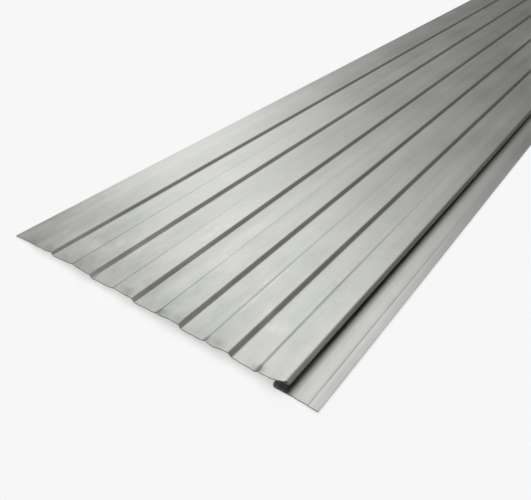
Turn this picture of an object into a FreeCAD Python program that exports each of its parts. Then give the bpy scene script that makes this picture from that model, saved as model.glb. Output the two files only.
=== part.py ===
import FreeCAD, Part
import math
import os

# Aluminium cladding panel: one roll-formed sheet, cut square at both ends.
# Frame: X across the panel, Y along its length, Z up. The origin is at the
# middle of the underside, where the panel lies on a level floor.

# ---- driving dimensions (mm) ----
length = 3000.0         # length of the stock
thickness = 1.0         # sheet thickness
pitch = 50.0            # from one step line to the next
boards = 5              # full boards between the tongue strip and the lock
width = 330.0           # tongue edge to flange edge

low_under = 3.1         # underside at a step line's foot, at the middle board
step_height = 3.5       # height of a step line
crease_height = 0.55    # the small crease along a board's middle
face_rise = 0.3         # the face climbs this much from one board to the next
step_run = 3.4          # width of a step line
crease_run = 3.5        # width of the crease
bend_step = 2.2         # centreline bend radius at a step line's upper edge
bend_foot = 2.5         # centreline bend radius at its foot
bend_crease = 6.0       # centreline bend radius at a crease

tongue_high_under = 5.0  # underside of the tongue strip beside the first step
tongue_crease_under = 2.3  # underside of the strip at its own faint crease

shoulder_x = 134.6      # where the last board turns down
shoulder_angle = 35.0   # degrees below level
shoulder_bend = 2.6      # centreline bend radius where it turns down
slot_height = 4.15      # flange to the folded return, for the next tongue
nose_radius = 0.65      # centreline radius of the nose fold
lock_extra = 0.7        # the last board's edge stands this much higher
web_x = 127.0           # centreline of the web behind the slot
web_radius = 1.2        # centreline bend radius, web to return and flange
joggle_x = 148.0        # where the fixing flange lifts slightly
joggle_run = 8.0
joggle_rise = 0.5
bend_joggle = 8.0

first_step_x = -114.4   # centre of the first step line
half = thickness / 2.0


# ---- centreline of the section: (x, z, bend radius) from left to right ----
def low(k):
    return low_under + face_rise * (k - 3) + half


def high(k):
    return low(k) + step_height


path = [
    (-width / 2.0, half, 0.0),
    (first_step_x - 0.5 * pitch, tongue_crease_under + half, bend_crease),
    (first_step_x - 0.5 * step_run, tongue_high_under + half, bend_step),
]
for k in range(1, boards + 1):
    x0 = first_step_x + (k - 1) * pitch
    slope = 0.5 * (step_height - crease_height)
    path.append((x0 + 0.5 * step_run, low(k), bend_foot))
    path.append((x0 + 0.5 * pitch - 0.5 * crease_run, low(k) + slope, bend_crease))
    path.append((x0 + 0.5 * pitch + 0.5 * crease_run, high(k) - slope, bend_crease))
    if k < boards:
        path.append((x0 + pitch - 0.5 * step_run, high(k), bend_step))

# The lock: the face turns down, folds back under itself, and a web brings it
# down to the fixing flange. The slot between them opens to the flange side.
top = high(boards) + lock_extra
return_z = thickness + slot_height + half
path += [
    (shoulder_x, top, shoulder_bend),
    (shoulder_x + (top - return_z) / math.tan(math.radians(shoulder_angle)),
     return_z, nose_radius),
    (web_x, return_z, web_radius),
    (web_x, half, web_radius),
    (joggle_x, half, bend_joggle),
    (joggle_x + joggle_run, half + joggle_rise, bend_joggle),
    (width / 2.0, half + joggle_rise, 0.0),
]


# ---- the section's outline: lines and tangent arcs, offset to each side ----
def unit(a, b):
    d = math.hypot(b[0] - a[0], b[1] - a[1])
    return ((b[0] - a[0]) / d, (b[1] - a[1]) / d)


def point(x, z):
    return FreeCAD.Vector(x, -length / 2.0, z)


def side(offset):
    """Edges of the section on one side of the centreline, offset to its left."""
    edges = []
    last = None
    for i, (x, z, radius) in enumerate(path):
        if i == 0 or i == len(path) - 1:
            d = unit(path[0], path[1]) if i == 0 else unit(path[-2], path[-1])
            here = (x - d[1] * offset, z + d[0] * offset)
            if last is not None:
                edges.append(Part.LineSegment(point(*last), point(*here)).toShape())
            last = here
            continue
        d0 = unit(path[i - 1], path[i])
        d1 = unit(path[i], path[i + 1])
        turn = math.atan2(d0[0] * d1[1] - d0[1] * d1[0],
                          d0[0] * d1[0] + d0[1] * d1[1])
        sign = 1.0 if turn > 0 else -1.0
        reach = radius * math.tan(abs(turn) / 2.0)
        start = (x - d0[0] * reach, z - d0[1] * reach)
        centre = (start[0] - d0[1] * sign * radius, start[1] + d0[0] * sign * radius)
        r = radius - sign * offset

        def on_arc(part_of_turn):
            a = math.atan2(start[1] - centre[1], start[0] - centre[0]) + turn * part_of_turn
            return (centre[0] + r * math.cos(a), centre[1] + r * math.sin(a))

        a, m, b = on_arc(0.0), on_arc(0.5), on_arc(1.0)
        if last is not None and math.hypot(a[0] - last[0], a[1] - last[1]) > 1e-4:
            edges.append(Part.LineSegment(point(*last), point(*a)).toShape())
        edges.append(Part.Arc(point(*a), point(*m), point(*b)).toShape())
        last = b
    return edges


upper = side(half)
lower = side(-half)
first = unit(path[0], path[1])
start_up = point(path[0][0] - first[1] * half, path[0][1] + first[0] * half)
start_low = point(path[0][0] + first[1] * half, path[0][1] - first[0] * half)
end_up = point(path[-1][0], path[-1][1] + half)
end_low = point(path[-1][0], path[-1][1] - half)
outline = upper + [Part.LineSegment(end_up, end_low).toShape()] + lower
outline.append(Part.LineSegment(start_low, start_up).toShape())
wire = Part.Wire(Part.__sortEdges__(outline))
section = Part.Face(wire)
sheet = section.extrude(FreeCAD.Vector(0.0, length, 0.0))
if sheet.ShapeType != "Solid":
    sheet = Part.Solid(sheet.Shells[0])

# The tongue edge is cut square to its slope, so its lowest corner is brought
# down to the floor with the flange.
box = sheet.BoundBox
sheet.translate(FreeCAD.Vector(-(box.XMin + box.XMax) / 2.0, 0.0, -box.ZMin))

developed = sheet.Volume / (thickness * length)
box = sheet.BoundBox
print("valid", sheet.isValid(), "closed", wire.isClosed(), "solids", len(sheet.Solids))
print("box X %.3f..%.3f  Y %.1f..%.1f  Z %.3f..%.3f" % (
    box.XMin, box.XMax, box.YMin, box.YMax, box.ZMin, box.ZMax))
print("flat strip width %.1f mm, volume %.0f mm3, mass %.3f kg" % (
    developed, sheet.Volume, sheet.Volume * 2.70e-6))

os.makedirs("parts", exist_ok=True)
sheet.exportStep("parts/cladding_panel.step")
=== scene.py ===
import math

import bmesh
import bpy
import numpy as np
from mathutils import Matrix, Vector


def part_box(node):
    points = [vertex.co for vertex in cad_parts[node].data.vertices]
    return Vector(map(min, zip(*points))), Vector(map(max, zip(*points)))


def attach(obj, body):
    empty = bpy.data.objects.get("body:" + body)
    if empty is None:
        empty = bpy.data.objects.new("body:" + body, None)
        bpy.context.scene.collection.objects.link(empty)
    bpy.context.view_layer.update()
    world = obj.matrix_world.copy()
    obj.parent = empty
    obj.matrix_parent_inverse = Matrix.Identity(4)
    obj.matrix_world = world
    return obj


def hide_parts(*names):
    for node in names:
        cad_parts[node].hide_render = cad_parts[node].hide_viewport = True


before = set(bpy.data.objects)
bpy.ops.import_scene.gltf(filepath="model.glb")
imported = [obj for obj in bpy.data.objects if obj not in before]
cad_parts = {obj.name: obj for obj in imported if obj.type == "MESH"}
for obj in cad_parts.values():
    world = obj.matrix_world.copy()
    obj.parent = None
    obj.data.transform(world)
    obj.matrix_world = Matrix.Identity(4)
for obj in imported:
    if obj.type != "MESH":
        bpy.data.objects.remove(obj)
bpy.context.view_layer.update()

BOX_LO, BOX_HI = [np.array(c, dtype=float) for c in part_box("cladding_panel")]

# ---------------------------------------------------------------- section (mm)
LENGTH = 3000.0
T = 1.0
HALF = T / 2.0
PITCH = 50.0
BOARDS = 5
WIDTH = 330.0
LOW_UNDER = 3.1
STEP_H = 3.5
CREASE_H = 0.55
FACE_RISE = 0.3
STEP_RUN = 3.4
CREASE_RUN = 3.5
FIRST_X = -114.4
SHOULDER_X = 134.6
SHOULDER_DEG = 35.0
SLOT_H = 4.15
NOSE_R = 0.65
LOCK_EXTRA = 0.7
WEB_X = 127.0
WEB_R = 1.2
JOG_X, JOG_RUN, JOG_RISE = 148.0, 8.0, 0.5


def low(k):
    return LOW_UNDER + FACE_RISE * (k - 3) + HALF


def high(k):
    return low(k) + STEP_H


# Scored lines that the rolls leave, deeper towards the lock, and one on the
# flange.
SCORES = [FIRST_X + (k - 0.5) * PITCH for k in range(1, BOARDS + 1)] + [157.0]
SCORE_WEIGHTS = (0.45, 0.55, 0.9, 1.1, 1.4, 0.6)
SCORE_STOPS = (-1.5, -1.0, -0.6, -0.3, 0.0, 0.3, 0.6, 1.0, 1.5)
SLOPE = 0.5 * (STEP_H - CREASE_H)
path = [(-WIDTH / 2, HALF, 0.0),
        (FIRST_X - 0.5 * PITCH, 2.3 + HALF, 6.0),
        (FIRST_X - 0.5 * STEP_RUN, 5.0 + HALF, 2.2)]
for k in range(1, BOARDS + 1):
    x0 = FIRST_X + (k - 1) * PITCH
    path.append((x0 + 0.5 * STEP_RUN, low(k), 2.5))
    path.append((x0 + 0.5 * PITCH - 0.5 * CREASE_RUN, low(k) + SLOPE, 6.0))
    path.append((x0 + 0.5 * PITCH + 0.5 * CREASE_RUN, high(k) - SLOPE, 6.0))
    if k < BOARDS:
        path.append((x0 + PITCH - 0.5 * STEP_RUN, high(k), 2.2))
top = high(BOARDS) + LOCK_EXTRA
ret_z = T + SLOT_H + HALF
path += [(SHOULDER_X, top, 2.6),
         (SHOULDER_X + (top - ret_z) / math.tan(math.radians(SHOULDER_DEG)), ret_z, NOSE_R),
         (WEB_X, ret_z, WEB_R), (WEB_X, HALF, WEB_R),
         (JOG_X, HALF, 8.0), (JOG_X + JOG_RUN, HALF + JOG_RISE, 8.0),
         (WIDTH / 2, HALF + JOG_RISE, 0.0)]


def centreline():
    """Points on the sheet's centreline with their left normals."""
    out = []

    def add(p, n):
        if out and math.hypot(out[-1][0] - p[0], out[-1][1] - p[1]) < 1e-4:
            return
        out.append((p[0], p[1], n[0], n[1]))

    def flat(a, b, d):
        span = math.hypot(b[0] - a[0], b[1] - a[1])
        stops = set(np.linspace(0, 1, max(1, int(round(span / 3.6))) + 1).tolist())
        for gx in SCORES:
            for e in SCORE_STOPS:
                f = (gx + e - a[0]) / (b[0] - a[0]) if abs(b[0] - a[0]) > 1e-6 else -1
                if 0.0 < f < 1.0 and d[0] > 0.5:
                    stops.add(f)
        for f in sorted(stops):
            add((a[0] + (b[0] - a[0]) * f, a[1] + (b[1] - a[1]) * f), (-d[1], d[0]))

    def unit(a, b):
        d = math.hypot(b[0] - a[0], b[1] - a[1])
        return ((b[0] - a[0]) / d, (b[1] - a[1]) / d)

    last = (path[0][0], path[0][1])
    for i in range(1, len(path) - 1):
        x, z, r = path[i]
        d0, d1 = unit(path[i - 1], path[i]), unit(path[i], path[i + 1])
        turn = math.atan2(d0[0] * d1[1] - d0[1] * d1[0], d0[0] * d1[0] + d0[1] * d1[1])
        s = 1.0 if turn > 0 else -1.0
        reach = r * math.tan(abs(turn) / 2)
        a = (x - d0[0] * reach, z - d0[1] * reach)
        if math.hypot(a[0] - last[0], a[1] - last[1]) > 1e-3:
            flat(last, a, d0)
        c = (a[0] - d0[1] * s * r, a[1] + d0[0] * s * r)
        steps = max(3, int(math.ceil(abs(turn) / math.radians(15))))
        a0 = math.atan2(a[1] - c[1], a[0] - c[0])
        for j in range(steps + 1):
            f = j / steps
            ang = a0 + turn * f
            h = math.atan2(d0[1], d0[0]) + turn * f
            add((c[0] + r * math.cos(ang), c[1] + r * math.sin(ang)),
                (-math.sin(h), math.cos(h)))
        last = (c[0] + r * math.cos(a0 + turn), c[1] + r * math.sin(a0 + turn))
    flat(last, (path[-1][0], path[-1][1]), unit(path[-2], path[-1]))
    return np.array(out)


line = centreline()
# Rows along the length: close together at the ends, where the sheet was sheared.
near = np.concatenate([np.linspace(0, 24, 9), np.linspace(30, 330, 41), np.linspace(340, 1500, 48)])
rows = -LENGTH / 2 + np.concatenate([near, (LENGTH - near[:-1])[::-1]])
print("section points", len(line), "rows", len(rows), "tris", 4 * len(line) * len(rows))


def smooth(a, b, x):
    t = np.clip((x - a) / (b - a), 0, 1)
    return t * t * (3 - 2 * t)


rng = np.random.default_rng(41)
waves = [(rng.uniform(110, 700), rng.uniform(0, 6.28), rng.uniform(-2.5, 2.5), rng.uniform(0.4, 1.0))
         for _ in range(14)]


DENTS = [(96.0, -1450.0, 8, 9, -0.34), (78.0, -1456.0, 9, 7, -0.26), (87.0, -1441.0, 11, 5, 0.20),
         (-93.0, -1465.0, 9, 8, -0.28), (-84.0, -1447.0, 12, 6, 0.16), (-50.0, -1438.0, 9, 16, -0.15),
         (63.2, -1412.0, 1.1, 34, 0.13), (11.0, -1402.0, 8, 20, 0.12), (-24.0, -1372.0, 9, 30, -0.14)]
for _ in range(46):
    DENTS.append((rng.uniform(-150, 120), -1500 + 330 * rng.uniform(0, 1) ** 1.4, rng.uniform(5, 11),
                  rng.uniform(7, 26), rng.uniform(-0.10, 0.07)))
for _ in range(30):
    DENTS.append((rng.uniform(-150, 120), rng.uniform(-1100, 1480), rng.uniform(6, 13),
                  rng.uniform(14, 40), rng.uniform(-0.06, 0.05)))


def sag(x, y):
    """Slight unevenness of a thin rolled sheet, in mm. It fades out at the
    lock and the flange, which the bends hold straight."""
    z = np.zeros_like(x)
    for wl, p, q, a in waves:
        z += a * (wl / 500.0) * np.sin(6.2832 * y / wl + p + q * x / 40.0)
    z *= 0.06
    # Each board is free to bow between the step lines.
    b = (x - FIRST_X) / PITCH
    within = np.sin(np.pi * (b - np.floor(b))) ** 2
    z *= 0.35 + 0.65 * within
    # Small handling dents near one end.
    for dx, dy, rx, ry, depth in DENTS:
        z += depth * np.exp(-((x - dx) / rx) ** 2 - ((y - dy) / ry) ** 2)
    keep = smooth(-165, -150, x) * (1 - smooth(112, 124, x))
    z = z * keep
    # The scored lines are deepest near the ends, where the sheet left the rolls.
    far = LENGTH / 2 - np.abs(y)
    depth = 0.05 + 0.25 * (1 - smooth(120, 420, far))
    for gx, weight in zip(SCORES, SCORE_WEIGHTS):
        z -= weight * depth * np.exp(-((x - gx) / 1.0) ** 2)
    return z


def burr(x, seed):
    """How far the sheared end wanders back from square, in mm."""
    r = np.random.default_rng(seed)
    w = np.zeros_like(x)
    for wl in (61.0, 29.0, 13.0, 6.5):
        w += r.uniform(0.5, 1.0) * (wl / 61.0) ** 0.6 * np.sin(6.2832 * x / wl + r.uniform(0, 6.28))
    w = 0.7 + 0.42 * w
    return np.clip(w, 0.0, 2.0)


X = line[:, 0][None, :]
Z = line[:, 1][None, :]
NX = line[:, 2][None, :]
NZ = line[:, 3][None, :]
Y = rows[:, None] + 0 * X
XX = X + 0 * Y
dz = sag(XX, Y)
# The sheared ends: the cut wanders, its lip is pulled down a little in
# places, and the folded nose was nipped back when the panel was cut.
shoulder_i = int(np.argmax((line[:, 0] > SHOULDER_X - 1.0) & (line[:, 1] > 6.5)))
web_i = int(np.argmin(np.where(np.arange(len(line)) > shoulder_i, line[:, 0], 1e3)))
index = np.arange(len(line))
nip = smooth(shoulder_i - 3, shoulder_i + 2, index) * (1 - smooth(web_i - 5, web_i - 2, index))
for sign, seed in ((-1, 5), (1, 8)):
    from_end = np.abs(sign * LENGTH / 2 - Y)
    close = 1 - smooth(0, 24, from_end)
    lip = 1 - smooth(0, 9, from_end)
    Y = Y - sign * close * (burr(XX, seed) + (4.2 if sign < 0 else 1.0) * nip[None, :])
    dz = dz - lip * 0.42 * np.clip(np.sin(XX / 7.3 + seed) + np.sin(XX / 3.1 + 2 * seed), 0, 2) \
        * (XX > -150) * (XX < 120)
    for gx, weight in zip(SCORES[:BOARDS], SCORE_WEIGHTS):
        nick = weight * np.exp(-((XX - gx - 0.5) / 1.5) ** 2) * (1 - smooth(0, 7, from_end))
        Y = Y - sign * 1.5 * nick
        dz = dz - 0.45 * nick
Y = np.clip(Y, -LENGTH / 2, LENGTH / 2)
up = np.stack([XX + NX * HALF, Y, Z + NZ * HALF + dz], -1)
dn = np.stack([XX - NX * HALF, Y, Z - NZ * HALF + dz], -1)

pts = np.concatenate([up.reshape(-1, 3), dn.reshape(-1, 3)]) / 1000.0
pts = np.minimum(np.maximum(pts, BOX_LO), BOX_HI)
nr, nc = len(rows), len(line)
off = nr * nc
faces = []
skin_faces = 2 * (nr - 1) * (nc - 1)
for r in range(nr - 1):
    for c in range(nc - 1):
        a = r * nc + c
        faces.append((a, a + 1, a + nc + 1, a + nc))
        faces.append((off + a, off + a + nc, off + a + nc + 1, off + a + 1))
for r in range(nr - 1):
    a = r * nc
    faces.append((a, a + nc, off + a + nc, off + a))
    b = r * nc + nc - 1
    faces.append((b, off + b, off + b + nc, b + nc))
for c in range(nc - 1):
    faces.append((c, off + c, off + c + 1, c + 1))
    a = (nr - 1) * nc + c
    faces.append((a, a + 1, off + a + 1, off + a))

mesh = bpy.data.meshes.new("panel_sheet")
mesh.from_pydata([tuple(p) for p in pts], [], faces)
for i, poly in enumerate(mesh.polygons):
    poly.material_index = 0 if i < skin_faces else 1
mesh.validate()
bm = bmesh.new()
bm.from_mesh(mesh)
bmesh.ops.recalc_face_normals(bm, faces=bm.faces)
bm.to_mesh(mesh)
bm.free()
for poly in mesh.polygons:
    poly.use_smooth = True
mesh.set_sharp_from_angle(angle=math.radians(40))
panel = bpy.data.objects.new("panel_sheet", mesh)
bpy.context.scene.collection.objects.link(panel)


# ------------------------------------------------------------------- material
# Pale rub marks at one end. The long thin mark at X 0.0632 is a painted highlight beside a scored line.
RUB_AND_HIGHLIGHT_MARKS = [(0.0960, -1.4500, 0.0100, 0.0070, 0.85), (0.0840, -1.4440, 0.0060, 0.0120, 0.60),
        (-0.0930, -1.4650, 0.0110, 0.0070, 0.75), (-0.0780, -1.4540, 0.0050, 0.0140, 0.50),
        (0.0632, -1.4120, 0.0013, 0.0420, 0.95), (0.0110, -1.4020, 0.0100, 0.0260, 0.55),
        (-0.0240, -1.3720, 0.0110, 0.0380, 0.60)]


def aluminium():
    mat = bpy.data.materials.new("mill_aluminium")
    mat.use_nodes = True
    nt = mat.node_tree
    nodes, links = nt.nodes, nt.links
    bsdf = nodes["Principled BSDF"]
    bsdf.inputs["Metallic"].default_value = 1.0

    def node(kind, **values):
        n = nodes.new(kind)
        for key, v in values.items():
            if key in n.inputs:
                n.inputs[key].default_value = v
            else:
                setattr(n, key, v)
        return n

    coord = node("ShaderNodeTexCoord")

    def noise(scale, detail=3.0, rough=0.55, size=1.0):
        m = node("ShaderNodeMapping")
        m.inputs["Scale"].default_value = scale
        links.new(coord.outputs["Object"], m.inputs["Vector"])
        n = node("ShaderNodeTexNoise")
        n.inputs["Scale"].default_value = size
        n.inputs["Detail"].default_value = detail
        n.inputs["Roughness"].default_value = rough
        links.new(m.outputs["Vector"], n.inputs["Vector"])
        return n.outputs["Fac"]

    def ramp(fac, a, b, lo, hi):
        n = node("ShaderNodeMapRange")
        n.inputs["From Min"].default_value = a
        n.inputs["From Max"].default_value = b
        n.inputs["To Min"].default_value = lo
        n.inputs["To Max"].default_value = hi
        links.new(fac, n.inputs["Value"])
        return n.outputs["Result"]

    def math_node(op, a, b):
        n = node("ShaderNodeMath", operation=op)
        for i, v in enumerate((a, b)):
            if isinstance(v, (int, float)):
                n.inputs[i].default_value = v
            else:
                links.new(v, n.inputs[i])
        return n.outputs[0]

    streak = noise((900.0, 3.0, 60.0), 4.0)          # fine roll lines along the length
    broad = noise((60.0, 1.2, 60.0), 3.0)            # broader bands along the length
    cloud = noise((14.0, 8.0, 14.0), 5.0, 0.6)       # handling haze
    grain = noise((2400.0, 1600.0, 2400.0), 2.0)     # mill grain

    mix = node("ShaderNodeMix", data_type="RGBA")
    mix.inputs[6].default_value = (0.600, 0.616, 0.588, 1)
    mix.inputs[7].default_value = (0.850, 0.862, 0.822, 1)
    tone = math_node("ADD", math_node("MULTIPLY", ramp(broad, 0.3, 0.7, 0, 1), 0.40),
                     math_node("ADD", math_node("MULTIPLY", ramp(cloud, 0.3, 0.7, 0, 1), 0.40),
                               math_node("MULTIPLY", ramp(streak, 0.3, 0.7, 0, 1), 0.2)))
    # The last 300 mm at each end is more marked by handling.
    place = node("ShaderNodeSeparateXYZ")
    links.new(coord.outputs["Object"], place.inputs[0])
    handled = ramp(math_node("ABSOLUTE", place.outputs["Y"], 0.0), 1.18, 1.46, 0.0, 1.0)
    smear = noise((46.0, 20.0, 46.0), 5.0, 0.62)
    tone = math_node("ADD", tone, math_node("MULTIPLY", handled, ramp(smear, 0.34, 0.66, -0.50, 0.42)))
    links.new(tone, mix.inputs[0])

    # Painted shade drawn into the lock's seam, darkest on the flange below the nose, and a little at the
    # foot of each step.
    sep = node("ShaderNodeSeparateXYZ")
    links.new(coord.outputs["Object"], sep.inputs[0])
    seam_in = ramp(sep.outputs["X"], 0.1335, 0.1375, 0.0, 1.0)
    seam_out = ramp(sep.outputs["X"], 0.1403, 0.1452, 1.0, 0.0)
    level = ramp(sep.outputs["Z"], 0.0045, 0.0060, 1.0, 0.35)
    seam = math_node("MULTIPLY", math_node("MULTIPLY", seam_in, seam_out), level)
    # Painted shade: a faint, patchy darkening at the foot of each step line.
    phase = math_node("FRACT", math_node("MULTIPLY", math_node("ADD", sep.outputs["X"], 0.1144), 20.0), 0.0)
    foot = math_node("ADD", ramp(phase, 0.020, 0.075, 1.0, 0.0), ramp(phase, 0.955, 0.985, 0.0, 1.0))
    on_boards = math_node("LESS_THAN", sep.outputs["X"], 0.100)
    foot = math_node("MULTIPLY", math_node("MULTIPLY", math_node("MINIMUM", foot, 1.0), on_boards),
                     ramp(cloud, 0.3, 0.7, 0.0, 0.06))
    # The first step line is darkened more with painted shade, and so are the scored lines near the ends,
    # most of all by the lock.
    first = ramp(math_node("ABSOLUTE", math_node("ADD", sep.outputs["X"], 0.1148), 0.0),
                 0.0010, 0.0030, 0.30, 0.0)
    foot = math_node("ADD", foot, first)
    off_line = math_node("ABSOLUTE", math_node("SUBTRACT", phase, 0.5), 0.0)
    scored = math_node("MULTIPLY", ramp(off_line, 0.006, 0.026, 1.0, 0.0),
                       ramp(sep.outputs["X"], -0.040, 0.110, 0.0, 0.46))
    scored = math_node("MULTIPLY", scored, math_node("LESS_THAN", sep.outputs["X"], 0.125))
    scored = math_node("MULTIPLY", scored,
                       ramp(math_node("ABSOLUTE", sep.outputs["Y"], 0.0), 1.06, 1.36, 0.0, 1.0))
    foot = math_node("ADD", foot, math_node("MULTIPLY", scored, ramp(cloud, 0.35, 0.6, 0.45, 1.0)))
    # Painted shade: the seam, step-foot and scored-line darkening together, mixed towards a near-black
    # colour below.
    painted_shade = math_node("MINIMUM", math_node("ADD", math_node("MULTIPLY", seam, 0.62), foot), 0.9)
    shade_mix = node("ShaderNodeMix", data_type="RGBA")
    shade_mix.inputs[7].default_value = (0.085, 0.090, 0.078, 1)
    links.new(painted_shade, shade_mix.inputs[0])
    links.new(mix.outputs[2], shade_mix.inputs[6])

    # Short scuffs across the boards from handling.
    scuff = noise((34.0, 52.0, 34.0), 6.0, 0.7)
    scuff_and_highlight = ramp(scuff, 0.66, 0.74, 0.0, 0.22)
    # Rub marks at one end, and one painted highlight along the scored line at X 63 mm: place, half-size and
    # strength.
    torn = noise((150.0, 90.0, 150.0), 4.0, 0.65)
    for mx, my, rx, ry, strength in RUB_AND_HIGHLIGHT_MARKS:
        ex = math_node("DIVIDE", math_node("SUBTRACT", sep.outputs["X"], mx), rx)
        ey = math_node("DIVIDE", math_node("SUBTRACT", sep.outputs["Y"], my), ry)
        d2 = math_node("ADD", math_node("MULTIPLY", ex, ex), math_node("MULTIPLY", ey, ey))
        mark = math_node("EXPONENT", math_node("MULTIPLY", d2, -1.0), 0.0)
        mark = math_node("MULTIPLY", mark, ramp(torn, 0.40, 0.60, 0.15, strength))
        scuff_and_highlight = math_node("ADD", scuff_and_highlight, mark)
    scuff_and_highlight = math_node("MINIMUM", scuff_and_highlight, 0.9)
    pale = node("ShaderNodeMix", data_type="RGBA")
    pale.inputs[7].default_value = (0.90, 0.90, 0.87, 1)
    links.new(scuff_and_highlight, pale.inputs[0])
    links.new(shade_mix.outputs[2], pale.inputs[6])
    links.new(pale.outputs[2], bsdf.inputs["Base Color"])

    rough = math_node("ADD", ramp(streak, 0.3, 0.7, 0.30, 0.35),
                      ramp(cloud, 0.3, 0.7, -0.015, 0.02))
    rough = math_node("ADD", rough, math_node("MULTIPLY", handled, ramp(smear, 0.32, 0.68, -0.05, 0.06)))
    links.new(rough, bsdf.inputs["Roughness"])

    bump1 = node("ShaderNodeBump")
    bump1.inputs["Strength"].default_value = 0.22
    bump1.inputs["Distance"].default_value = 0.00006
    links.new(streak, bump1.inputs["Height"])
    bump2 = node("ShaderNodeBump")
    bump2.inputs["Strength"].default_value = 0.08
    bump2.inputs["Distance"].default_value = 0.00004
    links.new(grain, bump2.inputs["Height"])
    links.new(bump1.outputs["Normal"], bump2.inputs["Normal"])
    links.new(bump2.outputs["Normal"], bsdf.inputs["Normal"])
    return mat


def sheared():
    """The cut edge: torn, darker and rough."""
    mat = bpy.data.materials.new("sheared_edge")
    mat.use_nodes = True
    nodes, links = mat.node_tree.nodes, mat.node_tree.links
    bsdf = nodes["Principled BSDF"]
    bsdf.inputs["Metallic"].default_value = 1.0
    bsdf.inputs["Roughness"].default_value = 0.6
    coord = nodes.new("ShaderNodeTexCoord")
    n = nodes.new("ShaderNodeTexNoise")
    n.inputs["Scale"].default_value = 1500.0
    links.new(coord.outputs["Object"], n.inputs["Vector"])
    r = nodes.new("ShaderNodeValToRGB")
    r.color_ramp.elements[0].position = 0.35
    r.color_ramp.elements[0].color = (0.12, 0.125, 0.115, 1)
    r.color_ramp.elements[1].position = 0.7
    r.color_ramp.elements[1].color = (0.34, 0.345, 0.33, 1)
    links.new(n.outputs["Fac"], r.inputs[0])
    links.new(r.outputs[0], bsdf.inputs["Base Color"])
    return mat


mesh.materials.append(aluminium())
mesh.materials.append(sheared())
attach(panel, "root")
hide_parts("cladding_panel")


# ---------------------------------------------------------------------- stage
def floor():
    m = bpy.data.meshes.new("studio_floor")
    s = 400.0
    m.from_pydata([(-s, -s, -0.0002), (s, -s, -0.0002), (s, s, -0.0002), (-s, s, -0.0002)],
                  [], [(0, 1, 2, 3)])
    ob = bpy.data.objects.new("studio_floor", m)
    bpy.context.scene.collection.objects.link(ob)
    mat = bpy.data.materials.new("floor_paper")
    mat.use_nodes = True
    b = mat.node_tree.nodes["Principled BSDF"]
    b.inputs["Base Color"].default_value = (0.8, 0.8, 0.8, 1)
    b.inputs["Emission Color"].default_value = (1.0, 1.0, 1.0, 1)
    b.inputs["Emission Strength"].default_value = 0.352
    b.inputs["Roughness"].default_value = 1.0
    b.inputs["Specular IOR Level"].default_value = 0.0
    m.materials.append(mat)


floor()


def backdrop():
    """A plain pale wall far off, so that low views have no dark horizon. Only
    the camera sees it: it lights nothing and shows in no reflection."""
    m = bpy.data.meshes.new("studio_backdrop")
    n, r = 96, 60.0
    ring = [(r * math.cos(6.283185307 * i / n), r * math.sin(6.283185307 * i / n)) for i in range(n)]
    m.from_pydata([(x, y, -1.0) for x, y in ring] + [(x, y, 60.0) for x, y in ring], [],
                  [(i, (i + 1) % n, n + (i + 1) % n, n + i) for i in range(n)])
    ob = bpy.data.objects.new("studio_backdrop", m)
    bpy.context.scene.collection.objects.link(ob)
    mat = bpy.data.materials.new("backdrop_paper")
    mat.use_nodes = True
    b = mat.node_tree.nodes["Principled BSDF"]
    b.inputs["Base Color"].default_value = (0.0, 0.0, 0.0, 1)
    b.inputs["Emission Color"].default_value = (1.0, 1.0, 1.0, 1)
    b.inputs["Emission Strength"].default_value = 0.925
    b.inputs["Roughness"].default_value = 1.0
    b.inputs["Specular IOR Level"].default_value = 0.0
    m.materials.append(mat)
    ob.visible_diffuse = False
    ob.visible_glossy = False
    ob.visible_transmission = False
    ob.visible_volume_scatter = False
    ob.visible_shadow = False


backdrop()

world = bpy.data.worlds.new("studio")
bpy.context.scene.world = world
world.use_nodes = True
wt = world.node_tree
wt.nodes.clear()
wo = wt.nodes.new("ShaderNodeOutputWorld")
bg = wt.nodes.new("ShaderNodeBackground")
wt.links.new(bg.outputs[0], wo.inputs[0])
tc = wt.nodes.new("ShaderNodeTexCoord")
sep = wt.nodes.new("ShaderNodeSeparateXYZ")
wt.links.new(tc.outputs["Generated"], sep.inputs[0])


def wmath(op, a, b=0.0):
    n = wt.nodes.new("ShaderNodeMath")
    n.operation = op
    for i, v in enumerate((a, b)):
        if isinstance(v, (int, float)):
            n.inputs[i].default_value = v
        else:
            wt.links.new(v, n.inputs[i])
    return n.outputs[0]


# An even room that darkens towards the horizon, and two large soft sources
# behind the panel on its tongue side.
BASE, RISE = 0.023, 0.310
SOURCES = ((1.085, 42.0, 45.0, 20.2), (0.905, 23.5, 61.0, 42.5))  # strength, tightness, azimuth, height
mr = wt.nodes.new("ShaderNodeMapRange")
mr.interpolation_type = "SMOOTHSTEP"
mr.inputs["From Min"].default_value = 0.0
mr.inputs["From Max"].default_value = 1.0
mr.inputs["To Min"].default_value = BASE
mr.inputs["To Max"].default_value = BASE + RISE
wt.links.new(sep.outputs["Z"], mr.inputs["Value"])
total = mr.outputs["Result"]
for power, tight, az, el in SOURCES:
    az, el = math.radians(az), math.radians(el)
    dot = wt.nodes.new("ShaderNodeVectorMath")
    dot.operation = "DOT_PRODUCT"
    wt.links.new(tc.outputs["Generated"], dot.inputs[0])
    dot.inputs[1].default_value = (-math.cos(az) * math.cos(el), math.sin(az) * math.cos(el), math.sin(el))
    lobe = wmath("EXPONENT", wmath("MULTIPLY", wmath("SUBTRACT", dot.outputs["Value"], 1.0), tight))
    total = wmath("ADD", total, wmath("MULTIPLY", lobe, power))
wt.links.new(total, bg.inputs["Strength"])
bg.inputs["Color"].default_value = (1.0, 1.0, 0.99, 1)


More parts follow.
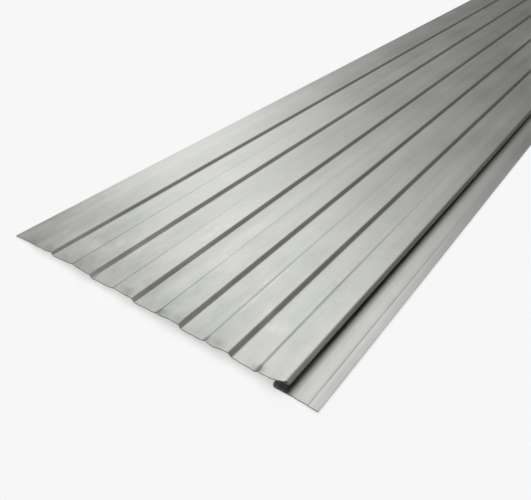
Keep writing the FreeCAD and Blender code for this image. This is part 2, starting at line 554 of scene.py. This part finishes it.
def panel_light(name, azimuth, height, size, power):
    """A soft light that the metal reflects when it is seen from another side."""
    data = bpy.data.lights.new(name, "AREA")
    data.shape = "RECTANGLE"
    data.size, data.size_y = size
    data.energy = power
    ob = bpy.data.objects.new(name, data)
    bpy.context.scene.collection.objects.link(ob)
    az, el = math.radians(azimuth), math.radians(height)
    way = Vector((-math.cos(az) * math.cos(el), math.sin(az) * math.cos(el), math.sin(el)))
    ob.location = way * 11.0
    ob.rotation_euler = (-way).to_track_quat("-Z", "Y").to_euler()
    ob.visible_diffuse = False
    ob.visible_camera = False


for i, (azimuth, power) in enumerate(((190.0, 84.0), (238.0, 80.0), (287.0, 80.0), (338.0, 92.0))):
    panel_light("side_%d" % i, azimuth, 32.0, (7.0, 5.0), power)

# A wide overhead fill for the floor, the same at every distance.
fill = bpy.data.lights.new("top_fill", "SUN")
fill.energy = 1.3
fill.angle = math.radians(110)
fill_ob = bpy.data.objects.new("top_fill", fill)
bpy.context.scene.collection.objects.link(fill_ob)
fill_ob.visible_glossy = False

# --------------------------------------------------------------------- camera
F_PX = 609.5183889846328
ROTVEC = (-0.9256102226138508, -0.21435204759506746, -0.5949964726133541)
CAM = (7.723250265177711, -5.2892290501646615, 6.823722372150327)
angle = math.sqrt(sum(v * v for v in ROTVEC))
to_camera = Matrix.Rotation(angle, 3, Vector(ROTVEC).normalized())
cam_data = bpy.data.cameras.new("camera")
cam_data.sensor_width = 36.0
cam_data.lens = 36.0 * F_PX / 531.0
cam_data.clip_start = 0.01
cam_data.clip_end = 2000.0
cam = bpy.data.objects.new("camera", cam_data)
# CAM is in pitches, from X = -115 mm at the near cut end.
bpy.context.scene.collection.objects.link(cam)
place = Vector(((PITCH * CAM[0] - 115.0) / 1000.0, (PITCH * CAM[1] - 0.5 * LENGTH) / 1000.0,
                (PITCH * CAM[2] + 5.3) / 1000.0))
cam.matrix_world = Matrix.Translation(place) @ to_camera.transposed().to_4x4()
bpy.context.scene.camera = cam
bpy.context.scene.view_settings.view_transform = "Standard"

bpy.context.view_layer.update()
